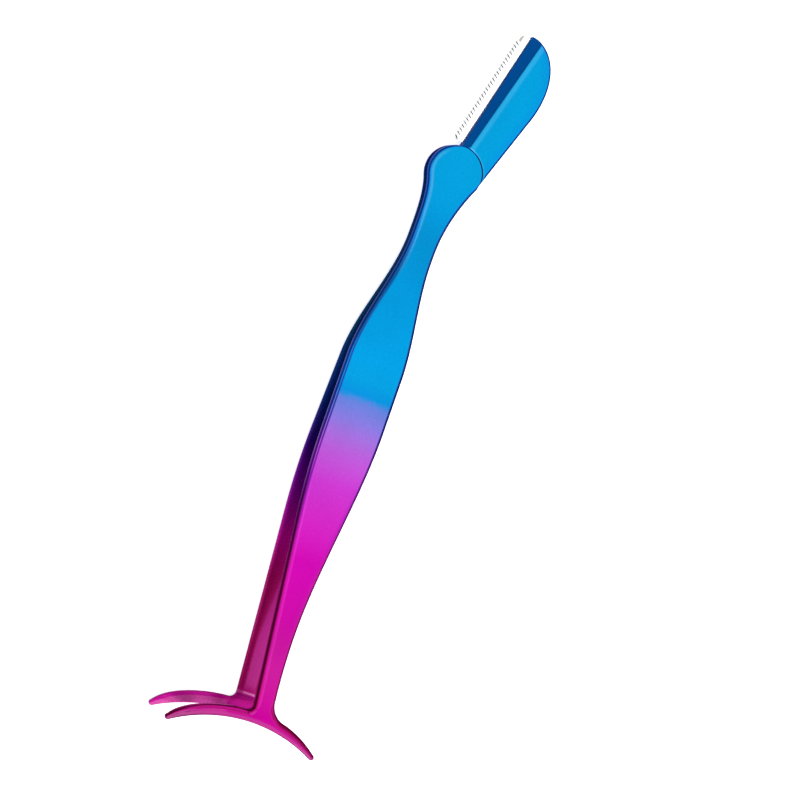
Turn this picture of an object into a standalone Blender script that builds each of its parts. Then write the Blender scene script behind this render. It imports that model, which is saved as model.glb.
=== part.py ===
# Curved tweezers with an eyebrow razor at the other end.
#
# Two sprung sheet arms lie one above the other. They start as two round lobes that clasp
# the tang of a flat razor holder, narrow to a neck, swell to a finger grip, taper again and
# end in crescent jaws. The holder carries a straight blade whose edge is covered by a thin
# folded comb.
#
# Tool frame: origin at the centre of the lobes on the mid-plane between the arms, +X towards
# the razor, +Y towards the blade side, +Z out of the front arm. The finished tool hangs from
# one empty that lays it on its rear arm, with the origin under the middle of its box.

import math

import bmesh
import bpy
from mathutils import Matrix, Vector

mm = 0.001

# Sheet of the arms
SHEET = 1.1 * mm                 # thickness of each arm
SHOULDER = 0.75 * mm             # rounding of the outer edges
SHOULDER_STEPS = 3

# Stack at the lobes
TANG = 0.5 * mm                  # thickness of the holder's tang
CLEARANCE = 0.3 * mm             # gap between any two pieces that touch

# Lobes and neck, seen from the front
LOBE_RADIUS = 5.75 * mm
LOBE_Y = -0.6 * mm               # the lobe centre lies a little to the back of the axis
LEAVE_BLADE = math.radians(24)   # where the neck leaves the lobe on the blade side
NECK_AT = 16.8 * mm              # distance of the narrowest place from the lobe centre
NECK_BLADE = 3.45 * mm           # distance of the neck's edges from the axis
NECK_BACK = 2.6 * mm
NECK_CURVE_BLADE = 4.4           # how fast each edge leaves the lobe
NECK_CURVE_BACK = 2.0

# Finger grip, seen from the front
GRIP_FROM_BLADE = 14.3 * mm      # the blade-side edge swells between these places
GRIP_FULL_BLADE = 41.3 * mm
GRIP_END_BLADE = 56.3 * mm
GRIP_BLADE = 7.75 * mm
GRIP_FROM_BACK = 18.3 * mm
GRIP_FULL_BACK = 42.3 * mm
GRIP_END_BACK = 53.3 * mm
GRIP_BACK = 4.9 * mm

# Taper down to the jaws
TAPER_EASE = 18.0 * mm           # length over which the straight taper sets in
WAIST_AT = 97.3 * mm             # the back edge is nearest to the axis here
WAIST_BACK = 1.25 * mm
ROOT_BLADE = 2.0 * mm            # distance of the edges from the axis at the jaws
ROOT_BACK = 1.9 * mm

# Bow of the arms, seen from the side
BOW_FROM = 13.3 * mm             # the arms part between these places
BOW_TO = 31.3 * mm
BOW_SLOPE = 0.060                # rise of each arm per length after the bow
BEND_AT = 111.8 * mm             # crease where the jaws turn nearly level

# Crescent jaws
GRIP_RADIUS = 31.5 * mm          # radius of the gripping edge
JAW_REACH = 115.6 * mm          # distance of the gripping edge from the lobe centre
JAW_Y = 1.3 * mm                 # the crescent's middle lies off the axis
JAW_WIDTH = 2.3 * mm             # width of a wing near the arm
JAW_TIP = 0.6 * mm               # radius of the wing tips
WING_BLADE = math.radians(30.1)    # sweep of each wing
WING_BACK = math.radians(26.9)
WING_POWER_BLADE = 6.0           # the blade-side wing keeps its width almost to the tip
WING_POWER_BACK = 1.5
FILLET_BLADE = 1.2 * mm
FILLET_BACK = 3.0 * mm
LIP_DEPTH = 1.2 * mm             # lip turned inwards along the gripping edge
LIP_WIDTH = 0.9 * mm
LIP_SETBACK = 0.1 * mm
LIP_RUNOUT = 2.5 * mm            # length over which the lip fades out at the wing tips

# Razor holder
HEAD_TURN = math.radians(-13.4)  # direction of the blade from the axis
EDGE_OFFSET = 2.0 * mm          # distance of the straight edge from the lobe centre
HEAD_REACH = 32.3 * mm           # distance of the corner at the tip from the lobe centre
BACK_OFFSET = 7.3 * mm           # distance of the back edge where the round end starts
ROUND_FROM = 17.1 * mm
ROUND_BULGE = 1.25 * mm          # how far the round end swells past the back edge
ROUND_REACH = 0.6 * mm           # and past the corner
HEAD_SHOULDER = 0.55 * mm
CHAMFER_NEAR = 1.2 * mm          # width of the sloping flats along the blade
CHAMFER_FAR = 2.2 * mm
CHAMFER_SLOPE = 0.49
TANG_LENGTH = 3.5 * mm           # reach of the tang past the lobe centre
TANG_FROM = -4.4 * mm            # place of the tang across the holder
TANG_TO = -1.75 * mm

# Blade and its comb
BLADE = 0.25 * mm                # thickness
BLADE_SHOWN = 1.7 * mm           # width that stands out of the holder
BLADE_HELD = 3.0 * mm            # width inside the slot
BLADE_START = 6.35 * mm
BLADE_SHORT = 0.5 * mm           # the blade ends this far before the holder's corner
BEVEL_WIDTH = 0.7 * mm           # ground part along the cutting edge
EDGE_LAND = 0.06 * mm
CORNER_RADIUS = 1.1 * mm         # rounding of the blade's outer corner
COMB_WALL = 0.2 * mm
COMB_LEG = 1.25 * mm             # height of the comb's folded sides
COMB_RAIL = 0.3 * mm             # uncut rim along the sides
COMB_SHORT = 1.6 * mm            # the comb ends this far before the blade does
SLOT_COUNT = 28
SLOT_WIDTH = 0.3 * mm
SLOT_SLANT = math.radians(29)

# Coat of the arms: distance from the lobe centre and colour there
FADE = [(0.0 * mm, '009FDF'), (40.0 * mm, '009FDF'), (52.0 * mm, '7A7AE0'), (62.0 * mm, 'B060DD'),
        (75.0 * mm, 'CC20C0'), (100.0 * mm, 'C80098')]

# Spring joint of the arms
HINGE_AT = 10.3 * mm             # the arms flex about a line across the neck

HALF_GAP = TANG / 2 + CLEARANCE            # half of the gap between the lobes
HALF_STACK = HALF_GAP + SHEET              # half thickness of the stack and the holder
SLOT_GAP = BLADE + 2 * CLEARANCE           # width of the blade's slot
JAW_CENTRE = Vector((-JAW_REACH - GRIP_RADIUS, JAW_Y))
LOBE = Vector((0.0, LOBE_Y))


def linear(hexCode):
    # sRGB hex code to a linear colour
    values = [int(hexCode[i:i + 2], 16) / 255 for i in (0, 2, 4)]
    return [v / 12.92 if v <= 0.04045 else ((v + 0.055) / 1.055) ** 2.4 for v in values] + [1.0]


def ease(t):
    # S-curve from 0 to 1
    t = min(max(t, 0.0), 1.0)
    return t * t * (3 - 2 * t)


def head_point(u, v):
    # u runs from the lobe centre along the blade, v towards the blade side
    return LOBE + Vector((math.cos(HEAD_TURN), math.sin(HEAD_TURN))) * u \
        + Vector((-math.sin(HEAD_TURN), math.cos(HEAD_TURN))) * v


def arc(centre, radius, start, end, steps):
    return [centre + radius * Vector((math.cos(a), math.sin(a)))
            for a in (start + (end - start) * i / steps for i in range(steps + 1))]


# Outline of an arm

def blade_edge(d):
    # distance of the blade-side edge from the axis, d from the lobe centre
    leave = LOBE_RADIUS * math.sin(LEAVE_BLADE)
    if d < NECK_AT:
        start = LOBE_Y + LOBE_RADIUS * math.cos(LEAVE_BLADE)
        neck = (start - NECK_BLADE) * max((NECK_AT - d) / (NECK_AT - leave), 0) ** NECK_CURVE_BLADE
    else:
        neck = 0.0
    swell = (GRIP_BLADE - NECK_BLADE) * ease((d - GRIP_FROM_BLADE) / (GRIP_FULL_BLADE - GRIP_FROM_BLADE))
    past = max(d - GRIP_END_BLADE, 0.0)
    run = JAW_REACH - GRIP_END_BLADE - TAPER_EASE / 2 - JAW_WIDTH
    slope = (GRIP_BLADE - ROOT_BLADE) / run
    eased = past * past / (2 * TAPER_EASE) if past < TAPER_EASE else past - TAPER_EASE / 2
    return NECK_BLADE + neck + swell - slope * eased


def back_edge(d):
    # the same for the back edge
    leave = -LOBE_RADIUS * math.sin(HEAD_TURN)
    if d < NECK_AT:
        start = -LOBE_Y + LOBE_RADIUS * math.cos(HEAD_TURN)
        neck = (start - NECK_BACK) * max((NECK_AT - d) / (NECK_AT - leave), 0) ** NECK_CURVE_BACK
    else:
        neck = 0.0
    swell = (GRIP_BACK - NECK_BACK) * ease((d - GRIP_FROM_BACK) / (GRIP_FULL_BACK - GRIP_FROM_BACK))
    fall = (GRIP_BACK - WAIST_BACK) * ease((d - GRIP_END_BACK) / (WAIST_AT - GRIP_END_BACK))
    flare = (ROOT_BACK - WAIST_BACK) * (max(d - WAIST_AT, 0.0) / (JAW_REACH - JAW_WIDTH - WAIST_AT)) ** 2
    return NECK_BACK + neck + swell - fall + flare


def wing_width(t, power):
    # width of a wing, t from 0 at the arm to 1 at the tip
    return JAW_WIDTH - (JAW_WIDTH - 2 * JAW_TIP) * max(t, 0.0) ** power


def fillet(side, edge, radius):
    # round corner between an arm's edge and the crescent; side is 1 at the blade, -1 at the back
    outer = GRIP_RADIUS + JAW_WIDTH
    y = side * (edge + radius)
    x = JAW_CENTRE.x + math.sqrt((outer + radius) ** 2 - (y - JAW_Y) ** 2)
    centre = Vector((x, y))
    toJaw = JAW_CENTRE - centre
    end = math.atan2(side * toJaw.y, toJaw.x) % (2 * math.pi)
    points = arc(Vector((x, edge + radius)), radius, 1.5 * math.pi, end, 5)
    joint = math.atan2(side * (centre.y - JAW_Y), centre.x - JAW_CENTRE.x)
    return [Vector((p.x, side * p.y)) for p in points], joint


def wing(side, start, sweep, power):
    # outer contour of a wing and its round tip, from the arm outwards
    points = []
    for i in range(1, 13):
        t = i / 12
        a = start + (sweep - start) * t
        r = GRIP_RADIUS + wing_width(t, power)
        points.append((r, a))
    tip = GRIP_RADIUS + JAW_TIP
    outline = [JAW_CENTRE + Vector((r * math.cos(a), side * r * math.sin(a))) for r, a in points]
    middle = Vector((tip * math.cos(sweep), tip * math.sin(sweep)))
    for i in range(1, 6):
        a = sweep + math.pi * i / 6
        p = middle + JAW_TIP * Vector((math.cos(a), math.sin(a)))
        outline.append(JAW_CENTRE + Vector((p.x, side * p.y)))
    return outline


def arm_outline():
    # one arm seen from the front, anticlockwise from the back of the lobe
    points = arc(LOBE, LOBE_RADIUS, -math.pi / 2 + HEAD_TURN, math.pi / 2 + LEAVE_BLADE, 26)
    bladeFillet, bladeStart = fillet(1, blade_edge(JAW_REACH - JAW_WIDTH), FILLET_BLADE)
    backFillet, backStart = fillet(-1, back_edge(JAW_REACH - JAW_WIDTH), FILLET_BACK)
    first = LOBE_RADIUS * math.sin(LEAVE_BLADE)
    last = -bladeFillet[0].x
    for i in range(1, 30):
        d = first + (last - first) * i / 30
        points.append(Vector((-d, blade_edge(d))))
    points += bladeFillet
    points += wing(1, bladeStart, WING_BLADE, WING_POWER_BLADE)
    points += arc(JAW_CENTRE, GRIP_RADIUS, WING_BLADE, -WING_BACK, 26)
    points += reversed(wing(-1, backStart, WING_BACK, WING_POWER_BACK))
    points += reversed(backFillet)
    first = -LOBE_RADIUS * math.sin(HEAD_TURN)
    last = -backFillet[0].x
    for i in range(29, 0, -1):
        d = first + (last - first) * i / 30
        points.append(Vector((-d, -back_edge(d))))
    return points


def tip_scale(p):
    # the shoulder gets smaller where a wing gets narrow
    d = p - JAW_CENTRE
    sweep = math.atan2(d.y, d.x)
    reach = (WING_BLADE - sweep if sweep > 0 else WING_BACK + sweep) * GRIP_RADIUS
    if p.x > -JAW_REACH + JAW_WIDTH:
        reach = 1.0
    room = 0.85 * JAW_TIP / SHOULDER
    return room + (1 - room) * ease(reach / (6 * mm))


def arm_rise(x):
    # height of an arm's inner face over the mid-plane
    d = -x
    bow = max(min(d, BOW_TO) - BOW_FROM, 0.0)
    rise = BOW_SLOPE * bow * bow / (2 * (BOW_TO - BOW_FROM))
    rise += BOW_SLOPE * max(min(d, BEND_AT) - BOW_TO, 0.0)
    return HALF_GAP + rise + rest_slope() * max(d - BEND_AT, 0.0)


def rest_slope():
    # the jaws lie flat on a table when the holder's round end touches it too
    bow = BOW_SLOPE * ((BOW_TO - BOW_FROM) / 2 + BEND_AT - BOW_TO)
    reach = max(p.x for p in head_outline()) - HEAD_SHOULDER
    return bow / (BEND_AT + reach)


# Outline of the holder

def back_line(u):
    # back edge of the holder from the lobe to the round end
    return -LOBE_RADIUS - (BACK_OFFSET - LOBE_RADIUS) * u / ROUND_FROM


def head_outline():
    # anticlockwise from the corner where the straight edge meets the lobe
    radius = LOBE_RADIUS + CLEARANCE
    top = math.asin(EDGE_OFFSET / radius)
    slope = (BACK_OFFSET - LOBE_RADIUS) / ROUND_FROM
    bottom = math.radians(-80)
    for _ in range(20):
        bottom = math.asin(max(back_line(radius * math.cos(bottom)) / radius, -1.0))
    points = arc(Vector((0, 0)), radius, top, bottom, 16)
    points += [Vector((u, back_line(u)))
               for u in (radius + (ROUND_FROM - radius) * i / 4 for i in range(5))]
    control = [Vector((ROUND_FROM, -BACK_OFFSET)),
               Vector((ROUND_FROM * 1.56, -BACK_OFFSET - ROUND_BULGE)),
               Vector((HEAD_REACH + ROUND_REACH, -BACK_OFFSET * 0.56)),
               Vector((HEAD_REACH, EDGE_OFFSET))]
    control[1].y = -BACK_OFFSET - max(slope * 0.56 * ROUND_FROM, ROUND_BULGE)
    for i in range(1, 17):
        t = i / 16
        s = 1 - t
        points.append(s ** 3 * control[0] + 3 * s * s * t * control[1]
                      + 3 * s * t * t * control[2] + t ** 3 * control[3])
    return [head_point(p.x, p.y) for p in points]


# Mesh helpers

def inward(points, i):
    # unit normal at a point of an anticlockwise outline, pointing into the sheet
    ahead = (points[(i + 1) % len(points)] - points[i]).normalized()
    behind = (points[i] - points[i - 1]).normalized()
    along = ahead + behind
    turn = max(0.6, math.sqrt(max((1 + ahead.dot(behind)) / 2, 0.0)))
    return Vector((-along.y, along.x)).normalized() / turn


def rounded_plate(points, low, high, lowRound, highRound, scale):
    # plate between two heights whose rims are rounded by the given radii
    bm = bmesh.new()
    count = len(points)
    rings = []
    for level, radius, order in ((low, lowRound, range(SHOULDER_STEPS, -1, -1)),
                                 (high, highRound, range(SHOULDER_STEPS + 1))):
        sign = 1 if level == high else -1
        if radius == 0:
            rings.append([bm.verts.new((p.x, p.y, level)) for p in points])
            continue
        for k in order:
            a = math.pi / 2 * k / SHOULDER_STEPS
            ring = []
            for i, p in enumerate(points):
                r = radius * scale(p)
                q = p + inward(points, i) * r * (1 - math.cos(a))
                ring.append(bm.verts.new((q.x, q.y, level - sign * r * (1 - math.sin(a)))))
            rings.append(ring)
    for lower, upper in zip(rings, rings[1:]):
        for i in range(count):
            j = (i + 1) % count
            bm.faces.new((lower[i], lower[j], upper[j], upper[i]))
    bm.faces.new(list(reversed(rings[0])))
    bm.faces.new(rings[-1])
    return bm


def bend(bm, stations, rise, side):
    # cut across at the stations, then lift every point by the rise at its place
    for d in stations:
        geometry = bm.verts[:] + bm.edges[:] + bm.faces[:]
        bmesh.ops.bisect_plane(bm, geom=geometry, dist=1e-7, plane_co=(-d, 0, 0), plane_no=(1, 0, 0))
    for v in bm.verts:
        v.co.z = side * (v.co.z + rise(v.co.x))
    if side < 0:
        bmesh.ops.reverse_faces(bm, faces=bm.faces[:])


def finish(name, bm, material, parent, sharp=35):
    # turn the mesh into an object that hangs from its parent
    mesh = bpy.data.meshes.new(name)
    bm.to_mesh(mesh)
    bm.free()
    mesh.shade_smooth()
    mesh.set_sharp_from_angle(angle=math.radians(sharp))
    if material is not None:
        mesh.materials.append(material)
    obj = bpy.data.objects.new(name, mesh)
    bpy.context.collection.objects.link(obj)
    obj.parent = parent
    return obj


def shift_mesh(obj, offset):
    # move the object's origin by the offset and keep the shape in place
    obj.data.transform(Matrix.Translation(-offset))
    obj.location = offset


def join_shape(obj, other, operation):
    # add or cut a helper shape that isn't a piece itself
    other.hide_render = True
    other.display_type = 'WIRE'
    step = obj.modifiers.new(other.name, 'BOOLEAN')
    step.operation = operation
    step.solver = 'EXACT'
    step.object = other


# Materials

def plain_material(name, hexCode, roughness, metallic):
    material = bpy.data.materials.new(name)
    material.use_nodes = True
    shader = material.node_tree.nodes['Principled BSDF']
    shader.inputs['Base Color'].default_value = linear(hexCode)
    shader.inputs['Roughness'].default_value = roughness
    shader.inputs['Metallic'].default_value = metallic
    material.diffuse_color = linear(hexCode)
    return material


def fade_material(name, stops, roughness, metallic):
    # the colour runs along the arm through the stops: (distance from the lobe centre, colour)
    material = plain_material(name, stops[0][1], roughness, metallic)
    nodes = material.node_tree.nodes
    links = material.node_tree.links
    place = nodes.new('ShaderNodeTexCoord')
    split = nodes.new('ShaderNodeSeparateXYZ')
    along = nodes.new('ShaderNodeMapRange')
    ramp = nodes.new('ShaderNodeValToRGB')
    near, far = stops[0][0], stops[-1][0]
    along.inputs['From Min'].default_value = HINGE_AT - near
    along.inputs['From Max'].default_value = HINGE_AT - far
    for stop in stops[1:-1]:
        ramp.color_ramp.elements.new((stop[0] - near) / (far - near)).color = linear(stop[1])
    ramp.color_ramp.elements[0].color = linear(stops[0][1])
    ramp.color_ramp.elements[-1].color = linear(stops[-1][1])
    links.new(place.outputs['Object'], split.inputs[0])
    links.new(split.outputs['X'], along.inputs['Value'])
    links.new(along.outputs['Result'], ramp.inputs['Fac'])
    links.new(ramp.outputs['Color'], nodes['Principled BSDF'].inputs['Base Color'])
    return material


# Pieces

def make_arm(name, side, material, parent):
    # side is 1 for the front arm and -1 for the rear arm, its mirror image
    bm = rounded_plate(arm_outline(), 0.0, SHEET, 0.0, SHOULDER, tip_scale)
    stations = [BOW_FROM + (BOW_TO - BOW_FROM) * i / 8 for i in range(9)] + [BEND_AT]
    bend(bm, stations, arm_rise, side)
    arm = finish(name, bm, material, parent)
    hinge = Vector((-HINGE_AT, 0, 0))
    shift_mesh(arm, hinge)
    lip = make_lip(name + '_lip', side, parent)
    join_shape(arm, lip, 'UNION')
    return arm


def make_lip(name, side, parent):
    # curved ridge along the gripping edge, reaching into the sheet so that the two join;
    # it runs out towards both wing tips
    near = GRIP_RADIUS + LIP_SETBACK
    far = GRIP_RADIUS + LIP_SETBACK + LIP_WIDTH
    ends = JAW_TIP / GRIP_RADIUS
    first, last = -WING_BACK + ends, WING_BLADE - ends
    steps = 34
    bm = bmesh.new()
    rings = []
    for i in range(steps + 1):
        a = first + (last - first) * i / steps
        out = Vector((math.cos(a), math.sin(a)))
        depth = LIP_DEPTH * (0.05 + 0.95 * ease(min(a - first, last - a) * GRIP_RADIUS / LIP_RUNOUT))
        section = [(near, -depth), (near, SHEET / 4), (far, SHEET / 4), (far, -depth)]
        rings.append([bm.verts.new((*(JAW_CENTRE + r * out), z)) for r, z in section])
    for lower, upper in zip(rings, rings[1:]):
        for i in range(4):
            j = (i + 1) % 4
            bm.faces.new((lower[i], lower[j], upper[j], upper[i]))
    bm.faces.new(list(reversed(rings[0])))
    bm.faces.new(rings[-1])
    bmesh.ops.recalc_face_normals(bm, faces=bm.faces[:])
    bend(bm, [], arm_rise, side)
    return finish(name, bm, None, parent)


def make_holder(material, parent):
    bm = rounded_plate(head_outline(), -HALF_STACK, HALF_STACK, HEAD_SHOULDER, HEAD_SHOULDER,
                       lambda p: 0.25 if (p - LOBE).length < LOBE_RADIUS + 2 * CLEARANCE else 1.0)
    for side in (1, -1):
        cut_chamfer(bm, side)
    holder = finish('razor_holder', bm, material, parent)
    join_shape(holder, make_tang(parent), 'UNION')
    join_shape(holder, make_slot(parent), 'DIFFERENCE')
    return holder


def cut_chamfer(bm, side):
    # sloping flat along the blade, wider towards the tip
    near = head_point(LOBE_RADIUS, EDGE_OFFSET - CHAMFER_NEAR)
    far = head_point(HEAD_REACH, EDGE_OFFSET - CHAMFER_FAR)
    out = Vector((-math.sin(HEAD_TURN), math.cos(HEAD_TURN), 0))
    along = Vector((far.x - near.x, far.y - near.y, 0)).normalized()
    down = Vector((out.x, out.y, -side * CHAMFER_SLOPE)).normalized()
    normal = along.cross(down).normalized()
    if normal.z * side < 0:
        normal = -normal
    point = Vector((near.x, near.y, side * HALF_STACK))
    geometry = bm.verts[:] + bm.edges[:] + bm.faces[:]
    cut = bmesh.ops.bisect_plane(bm, geom=geometry, dist=1e-7, plane_co=point, plane_no=normal,
                                 clear_outer=True)
    rim = [e for e in cut['geom_cut'] if isinstance(e, bmesh.types.BMEdge)]
    bmesh.ops.holes_fill(bm, edges=rim, sides=0)
    bmesh.ops.recalc_face_normals(bm, faces=bm.faces[:])


def box_points(u0, u1, v0, v1):
    # rectangle in the holder's own directions, anticlockwise
    return [head_point(u0, v0), head_point(u1, v0), head_point(u1, v1), head_point(u0, v1)]


def make_tang(parent):
    # tongue of the holder that the lobes clasp
    root = LOBE_RADIUS + 4 * CLEARANCE
    half = (TANG_TO - TANG_FROM) / 2
    middle = (TANG_TO + TANG_FROM) / 2
    points = [head_point(root, TANG_FROM), head_point(root, TANG_TO)]
    for i in range(9):
        a = math.pi / 2 + math.pi * i / 8
        points.append(head_point(-TANG_LENGTH + half + half * math.cos(a), middle + half * math.sin(a)))
    bm = rounded_plate(points, -TANG / 2, TANG / 2, 0.0, 0.0, lambda p: 1.0)
    return finish('tang_shape', bm, None, parent)


def make_slot(parent):
    # room for the blade, open along the straight edge and at both ends
    points = box_points(LOBE_RADIUS - CLEARANCE, HEAD_REACH + ROUND_REACH + CLEARANCE,
                        EDGE_OFFSET - BLADE_HELD - CLEARANCE, EDGE_OFFSET + CLEARANCE)
    bm = rounded_plate(points, -SLOT_GAP / 2, SLOT_GAP / 2, 0.0, 0.0, lambda p: 1.0)
    return finish('slot_shape', bm, None, parent)


def make_blade(material, parent):
    # flat strip whose outer side is ground to the edge from both faces
    start = BLADE_START
    end = HEAD_REACH - BLADE_SHORT
    low = EDGE_OFFSET - BLADE_HELD
    high = EDGE_OFFSET + BLADE_SHOWN
    corner = Vector((end - CORNER_RADIUS, high - CORNER_RADIUS))
    points = [Vector((start, low)), Vector((end, low))]
    points += arc(corner, CORNER_RADIUS, 0, math.pi / 2, 6)
    points += [Vector((start, high))]
    bm = bmesh.new()
    base = [bm.verts.new((p.x, p.y, -BLADE / 2)) for p in points]
    top = [bm.verts.new((p.x, p.y, BLADE / 2)) for p in points]
    for i in range(len(points)):
        j = (i + 1) % len(points)
        bm.faces.new((base[i], base[j], top[j], top[i]))
    bm.faces.new(list(reversed(base)))
    bm.faces.new(top)
    bmesh.ops.bisect_plane(bm, geom=bm.verts[:] + bm.edges[:] + bm.faces[:], dist=1e-7,
                           plane_co=(0, high - BEVEL_WIDTH, 0), plane_no=(0, 1, 0))
    for v in bm.verts:
        ground = max(v.co.y - (high - BEVEL_WIDTH), 0.0) / BEVEL_WIDTH
        v.co.z *= 1 - ground * (1 - EDGE_LAND / BLADE)
        p = head_point(v.co.x, v.co.y)
        v.co.x, v.co.y = p.x, p.y
    return finish('razor_blade', bm, material, parent, 10)


def make_comb(material, parent):
    # strip folded over the cutting edge, with slanted slots through both sides and the fold
    start = BLADE_START
    end = HEAD_REACH - BLADE_SHORT - COMB_SHORT
    top = EDGE_OFFSET + BLADE_SHOWN + CLEARANCE + COMB_WALL
    low = top - COMB_LEG
    half = BLADE / 2 + CLEARANCE + COMB_WALL
    inside = half - COMB_WALL
    section = [(low, half), (low, inside), (top - COMB_WALL, inside), (top - COMB_WALL, -inside),
               (low, -inside), (low, -half)]
    section += [(top - half + half * math.sin(a), -half * math.cos(a))
                for a in (math.pi * i / 8 for i in range(9))]
    bm = bmesh.new()
    rings = []
    for u in (start, end):
        ring = []
        for v, z in section:
            p = head_point(u, v)
            ring.append(bm.verts.new((p.x, p.y, z)))
        rings.append(ring)
    count = len(section)
    for i in range(count):
        j = (i + 1) % count
        bm.faces.new((rings[0][i], rings[0][j], rings[1][j], rings[1][i]))
    bm.faces.new(list(reversed(rings[0])))
    bm.faces.new(rings[1])
    bmesh.ops.recalc_face_normals(bm, faces=bm.faces[:])
    comb = finish('comb_guard', bm, material, parent, 25)
    join_shape(comb, make_slots(start, end, low, top, half, parent), 'DIFFERENCE')
    return comb


def make_slots(start, end, low, top, half, parent):
    # one slanted bar for each slot; the outer end leans towards the tip
    bm = bmesh.new()
    bottom = low + COMB_RAIL
    rise = top + 0.5 * mm - bottom
    lean = rise * math.tan(SLOT_SLANT)
    pitch = (end - start - lean) / (SLOT_COUNT + 0.5)
    for n in range(SLOT_COUNT):
        u = start + pitch * (n + 0.75)
        corners = [(u, bottom), (u + SLOT_WIDTH, bottom),
                   (u + SLOT_WIDTH + lean, bottom + rise), (u + lean, bottom + rise)]
        rings = []
        for z in (-half - 0.5 * mm, half + 0.5 * mm):
            rings.append([bm.verts.new((*head_point(a, b), z)) for a, b in corners])
        for i in range(4):
            j = (i + 1) % 4
            bm.faces.new((rings[0][i], rings[0][j], rings[1][j], rings[1][i]))
        bm.faces.new(list(reversed(rings[0])))
        bm.faces.new(rings[1])
    return finish('slots_shape', bm, None, parent)


def lay_down(tool):
    # turn the tool so that the rear jaw lies flat, then stand its box on the origin
    tool.rotation_euler.y = math.atan(rest_slope())
    bpy.context.view_layer.update()
    graph = bpy.context.evaluated_depsgraph_get()
    corners = []
    for obj in bpy.data.objects:
        if obj.type == 'MESH' and not obj.hide_render:
            shape = obj.evaluated_get(graph)
            corners += [obj.matrix_world @ v.co for v in shape.data.vertices]
    low = Vector([min(c[i] for c in corners) for i in range(3)])
    high = Vector([max(c[i] for c in corners) for i in range(3)])
    tool.location = (-(low.x + high.x) / 2, -(low.y + high.y) / 2, -low.z)
    bpy.context.view_layer.update()
    print('tool placed at', [round(c / mm, 3) for c in tool.location],
          'pitch', round(math.degrees(tool.rotation_euler.y), 3))
    print('box in mm', [round((high[i] - low[i]) / mm, 2) for i in range(3)])


def main():
    for obj in list(bpy.data.objects):
        bpy.data.objects.remove(obj, do_unlink=True)
    tool = bpy.data.objects.new('tool', None)
    bpy.context.collection.objects.link(tool)
    make_arm('front_arm', 1, fade_material('front_arm_coat', FADE, 0.35, 0.8), tool)
    make_arm('rear_arm', -1, fade_material('rear_arm_coat', FADE, 0.35, 0.8), tool)
    make_holder(plain_material('holder_coat', '009FDF', 0.35, 0.8), tool)
    make_blade(plain_material('blade_steel', 'D8DADC', 0.2, 1.0), tool)
    make_comb(plain_material('comb_steel', 'C8CACC', 0.3, 1.0), tool)
    lay_down(tool)


main()
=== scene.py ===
import math
from types import SimpleNamespace

import bpy
import bmesh
import numpy as np
from mathutils import Matrix, Vector


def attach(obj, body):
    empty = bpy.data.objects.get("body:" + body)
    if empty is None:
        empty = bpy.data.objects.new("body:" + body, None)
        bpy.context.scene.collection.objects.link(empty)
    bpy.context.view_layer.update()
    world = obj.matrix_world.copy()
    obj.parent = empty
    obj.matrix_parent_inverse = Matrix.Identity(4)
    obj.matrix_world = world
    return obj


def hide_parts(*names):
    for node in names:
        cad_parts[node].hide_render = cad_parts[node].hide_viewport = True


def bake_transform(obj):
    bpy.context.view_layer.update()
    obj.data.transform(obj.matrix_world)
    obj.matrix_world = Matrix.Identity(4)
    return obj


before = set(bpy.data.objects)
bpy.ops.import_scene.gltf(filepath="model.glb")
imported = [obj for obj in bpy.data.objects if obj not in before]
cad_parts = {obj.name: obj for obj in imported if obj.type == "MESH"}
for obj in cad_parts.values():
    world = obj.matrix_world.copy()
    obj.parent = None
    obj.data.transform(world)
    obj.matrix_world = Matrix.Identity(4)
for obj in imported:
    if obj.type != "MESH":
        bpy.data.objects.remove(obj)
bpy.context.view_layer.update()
print("frame loaded")

mm = 0.001

# The tool frame has its origin between the lobes, +X to the razor, +Y to the blade side and
# +Z out of the front arm. All shapes are worked out there in mm, then laid down on the table.
place = {"origin": (44.108, -2.088, 2.824), "pitch": 2.149}


def toTable(points):  # tool frame in mm to the frame's metres: a turn about Y, then a shift
    a = math.radians(place["pitch"])
    turn = np.array([[math.cos(a), 0, math.sin(a)], [0, 1, 0], [-math.sin(a), 0, math.cos(a)]])
    return (points @ turn.T + np.array(place["origin"])) * mm


def ease(t):  # S-curve from 0 to 1
    t = np.clip(t, 0.0, 1.0)
    return t * t * (3 - 2 * t)


def after(value, span):  # S-curve of a value from 0 to 1; the span is where it starts and how long it takes
    return ease((value - span[0]) / span[1])


def polar(centre, radius, angle):  # points at a radius and angle round a centre
    return np.stack([centre[0] + radius * np.cos(angle), centre[1] + radius * np.sin(angle)], -1)


def addObject(name, data):  # a new object in the scene with this data
    added = bpy.data.objects.new(name, data)
    bpy.context.scene.collection.objects.link(added)
    return added


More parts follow.
